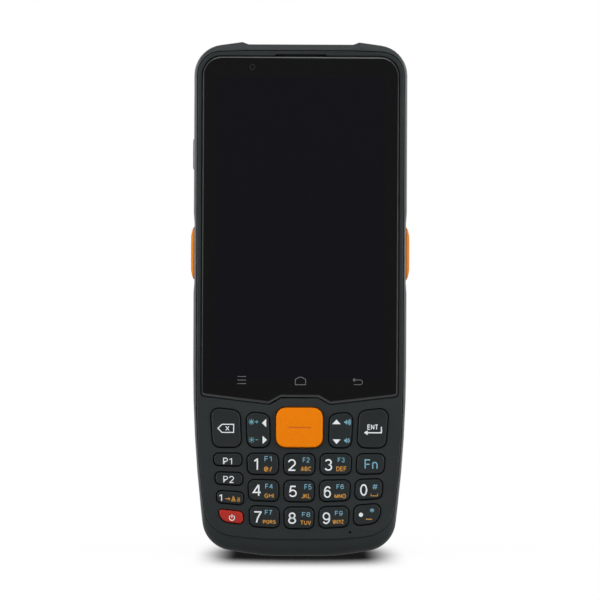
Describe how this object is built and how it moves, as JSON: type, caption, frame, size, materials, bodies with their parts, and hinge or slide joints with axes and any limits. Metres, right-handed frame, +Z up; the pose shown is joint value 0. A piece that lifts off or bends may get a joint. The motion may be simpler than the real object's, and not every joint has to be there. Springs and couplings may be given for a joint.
{
  "type": "portable barcode data terminal",
  "caption": "Hand-held data terminal with touch screen, key pad, orange scan key, side triggers, barcode window in its top edge and hinged battery door.",
  "frame": {"origin": "middle of the bounding box's footprint, at the height of the foot that it stands on", "axes": "+Z up along the length, -Y out of the screen towards the user, +X to the right of the screen"},
  "size_m": [0.075, 0.023, 0.1754],
  "materials": {
    "housing": "fine spark-eroded grain",
    "key_dark": "satin",
    "scan_orange": "satin",
    "trigger_orange": "fine grain",
    "power_red": "satin",
    "cover_glass": "polished, black printed behind the border",
    "display": "switched off",
    "lens_glass": "coated glass",
    "red_window": "dark red filter",
    "lamp_lens": "frosted",
    "soft_plastic": "matte",
    "gasket": "matte",
    "silicone": "matte",
    "black_plastic": "matte",
    "circuit_board": "solder mask",
    "battery_wrap": "shrink wrap",
    "anodised_ring": "anodised",
    "light_alloy": "pressed sheet",
    "tinned_steel": "tinned",
    "steel": "bright",
    "gold_contact": "gold-plated"
  },
  "bodies": {
    "case": {"front_housing": "housing", "rear_housing": "housing", "head_cover": "housing", "housing_gasket": "gasket", "housing_screws": "steel", "chassis": "light_alloy", "cover_glass": "cover_glass", "display_module": "display", "front_camera": "lens_glass", "receiver": "black_plastic", "microphone": "black_plastic", "keypad_mat": "silicone", "keypad_board": "circuit_board", "dome_switches": "steel", "main_board": "circuit_board", "shield_cans": "tinned_steel", "vibration_motor": "steel", "side_switches": "black_plastic", "battery": "battery_wrap", "battery_contacts": "gold_contact", "door_hinge_pins": "steel", "scan_window": "red_window", "scan_engine": "black_plastic", "scan_lens": "lens_glass", "rear_camera": "black_plastic", "camera_window": "lens_glass", "camera_ring": "anodised_ring", "lamp_lens": "lamp_lens", "loudspeaker": "black_plastic", "usb_socket": "tinned_steel", "port_hinge_pin": "steel", "dock_contacts": "gold_contact"},
    "battery_door": {"battery_door": "housing"},
    "battery_latch": {"battery_latch": "housing"},
    "port_cover": {"port_cover": "soft_plastic"},
    "trigger_left": {"trigger_left": "trigger_orange"},
    "trigger_right": {"trigger_right": "trigger_orange"},
    "side_key": {"side_key": "key_dark"},
    "key_scan": {"key_scan": "scan_orange"},
    "key_delete": {"key_delete": "key_dark"},
    "key_enter": {"key_enter": "key_dark"},
    "key_left_right": {"key_left_right": "key_dark"},
    "key_up_down": {"key_up_down": "key_dark"},
    "key_1": {"key_1": "key_dark"},
    "key_2": {"key_2": "key_dark"},
    "key_3": {"key_3": "key_dark"},
    "key_4": {"key_4": "key_dark"},
    "key_5": {"key_5": "key_dark"},
    "key_6": {"key_6": "key_dark"},
    "key_7": {"key_7": "key_dark"},
    "key_8": {"key_8": "key_dark"},
    "key_9": {"key_9": "key_dark"},
    "key_function": {"key_function": "key_dark"},
    "key_0": {"key_0": "key_dark"},
    "key_point": {"key_point": "key_dark"},
    "key_p1": {"key_p1": "key_dark"},
    "key_p2": {"key_p2": "key_dark"},
    "key_mode": {"key_mode": "key_dark"},
    "key_power": {"key_power": "power_red"}
  },
  "joints": [
    {"name": "battery_door_hinge", "type": "hinge", "parent": "case", "child": "battery_door", "pos_m": [0, 0.00729, 0.10495], "axis": [1, 0, 0], "range_deg": [0, 90]},
    {"name": "battery_latch_slide", "type": "slide", "parent": "battery_door", "child": "battery_latch", "axis": [0, 0, -1], "range_m": [0, 0.002]},
    {"name": "port_cover_hinge", "type": "hinge", "parent": "case", "child": "port_cover", "pos_m": [0.0356, 0.00194, 0.068], "axis": [0, 0, 1], "range_deg": [0, 100]},
    {"name": "trigger_left_press", "type": "slide", "parent": "case", "child": "trigger_left", "axis": [1, 0, 0], "range_m": [0, 0.0005], "stiffness_N_per_m": 1500},
    {"name": "trigger_right_press", "type": "slide", "parent": "case", "child": "trigger_right", "axis": [-1, 0, 0], "range_m": [0, 0.0005], "stiffness_N_per_m": 1500},
    {"name": "side_key_press", "type": "slide", "parent": "case", "child": "side_key", "axis": [1, 0, 0], "range_m": [0, 0.0005], "stiffness_N_per_m": 1000},
    {"name": "key_scan_press", "type": "slide", "parent": "case", "child": "key_scan", "axis": [0, 1, 0], "range_m": [0, 0.0005], "stiffness_N_per_m": 1200, "deforming": ["keypad_mat"]},
    {"name": "key_delete_press", "type": "slide", "parent": "case", "child": "key_delete", "axis": [0, 1, 0], "range_m": [0, 0.0005], "stiffness_N_per_m": 900, "deforming": ["keypad_mat"]},
    {"name": "key_enter_press", "type": "slide", "parent": "case", "child": "key_enter", "axis": [0, 1, 0], "range_m": [0, 0.0005], "stiffness_N_per_m": 900, "deforming": ["keypad_mat"]},
    {"name": "key_left_right_rock", "type": "hinge", "parent": "case", "child": "key_left_right", "pos_m": [-0.014, -0.00788, 0.04228], "axis": [1, 0, 0], "range_deg": [-3, 3], "stiffness_Nm_per_rad": 0.08, "deforming": ["keypad_mat"]},
    {"name": "key_up_down_rock", "type": "hinge", "parent": "case", "child": "key_up_down", "pos_m": [0.014, -0.00788, 0.04228], "axis": [1, 0, 0], "range_deg": [-3, 3], "stiffness_Nm_per_rad": 0.08, "deforming": ["keypad_mat"]},
    {"name": "key_1_press", "type": "slide", "parent": "case", "child": "key_1", "axis": [0, 1, 0], "range_m": [0, 0.0005], "stiffness_N_per_m": 900, "deforming": ["keypad_mat"]},
    {"name": "key_2_press", "type": "slide", "parent": "case", "child": "key_2", "axis": [0, 1, 0], "range_m": [0, 0.0005], "stiffness_N_per_m": 900, "deforming": ["keypad_mat"]},
    {"name": "key_3_press", "type": "slide", "parent": "case", "child": "key_3", "axis": [0, 1, 0], "range_m": [0, 0.0005], "stiffness_N_per_m": 900, "deforming": ["keypad_mat"]},
    {"name": "key_4_press", "type": "slide", "parent": "case", "child": "key_4", "axis": [0, 1, 0], "range_m": [0, 0.0005], "stiffness_N_per_m": 900, "deforming": ["keypad_mat"]},
    {"name": "key_5_press", "type": "slide", "parent": "case", "child": "key_5", "axis": [0, 1, 0], "range_m": [0, 0.0005], "stiffness_N_per_m": 900, "deforming": ["keypad_mat"]},
    {"name": "key_6_press", "type": "slide", "parent": "case", "child": "key_6", "axis": [0, 1, 0], "range_m": [0, 0.0005], "stiffness_N_per_m": 900, "deforming": ["keypad_mat"]},
    {"name": "key_7_press", "type": "slide", "parent": "case", "child": "key_7", "axis": [0, 1, 0], "range_m": [0, 0.0005], "stiffness_N_per_m": 900, "deforming": ["keypad_mat"]},
    {"name": "key_8_press", "type": "slide", "parent": "case", "child": "key_8", "axis": [0, 1, 0], "range_m": [0, 0.0005], "stiffness_N_per_m": 900, "deforming": ["keypad_mat"]},
    {"name": "key_9_press", "type": "slide", "parent": "case", "child": "key_9", "axis": [0, 1, 0], "range_m": [0, 0.0005], "stiffness_N_per_m": 900, "deforming": ["keypad_mat"]},
    {"name": "key_function_press", "type": "slide", "parent": "case", "child": "key_function", "axis": [0, 1, 0], "range_m": [0, 0.0005], "stiffness_N_per_m": 900, "deforming": ["keypad_mat"]},
    {"name": "key_0_press", "type": "slide", "parent": "case", "child": "key_0", "axis": [0, 1, 0], "range_m": [0, 0.0005], "stiffness_N_per_m": 900, "deforming": ["keypad_mat"]},
    {"name": "key_point_press", "type": "slide", "parent": "case", "child": "key_point", "axis": [0, 1, 0], "range_m": [0, 0.0005], "stiffness_N_per_m": 900, "deforming": ["keypad_mat"]},
    {"name": "key_p1_press", "type": "slide", "parent": "case", "child": "key_p1", "axis": [0, 1, 0], "range_m": [0, 0.0005], "stiffness_N_per_m": 900, "deforming": ["keypad_mat"]},
    {"name": "key_p2_press", "type": "slide", "parent": "case", "child": "key_p2", "axis": [0, 1, 0], "range_m": [0, 0.0005], "stiffness_N_per_m": 900, "deforming": ["keypad_mat"]},
    {"name": "key_mode_press", "type": "slide", "parent": "case", "child": "key_mode", "axis": [0, 1, 0], "range_m": [0, 0.0005], "stiffness_N_per_m": 900, "deforming": ["keypad_mat"]},
    {"name": "key_power_press", "type": "slide", "parent": "case", "child": "key_power", "axis": [0, 1, 0], "range_m": [0, 0.0005], "stiffness_N_per_m": 900, "deforming": ["keypad_mat"]}
  ]
}
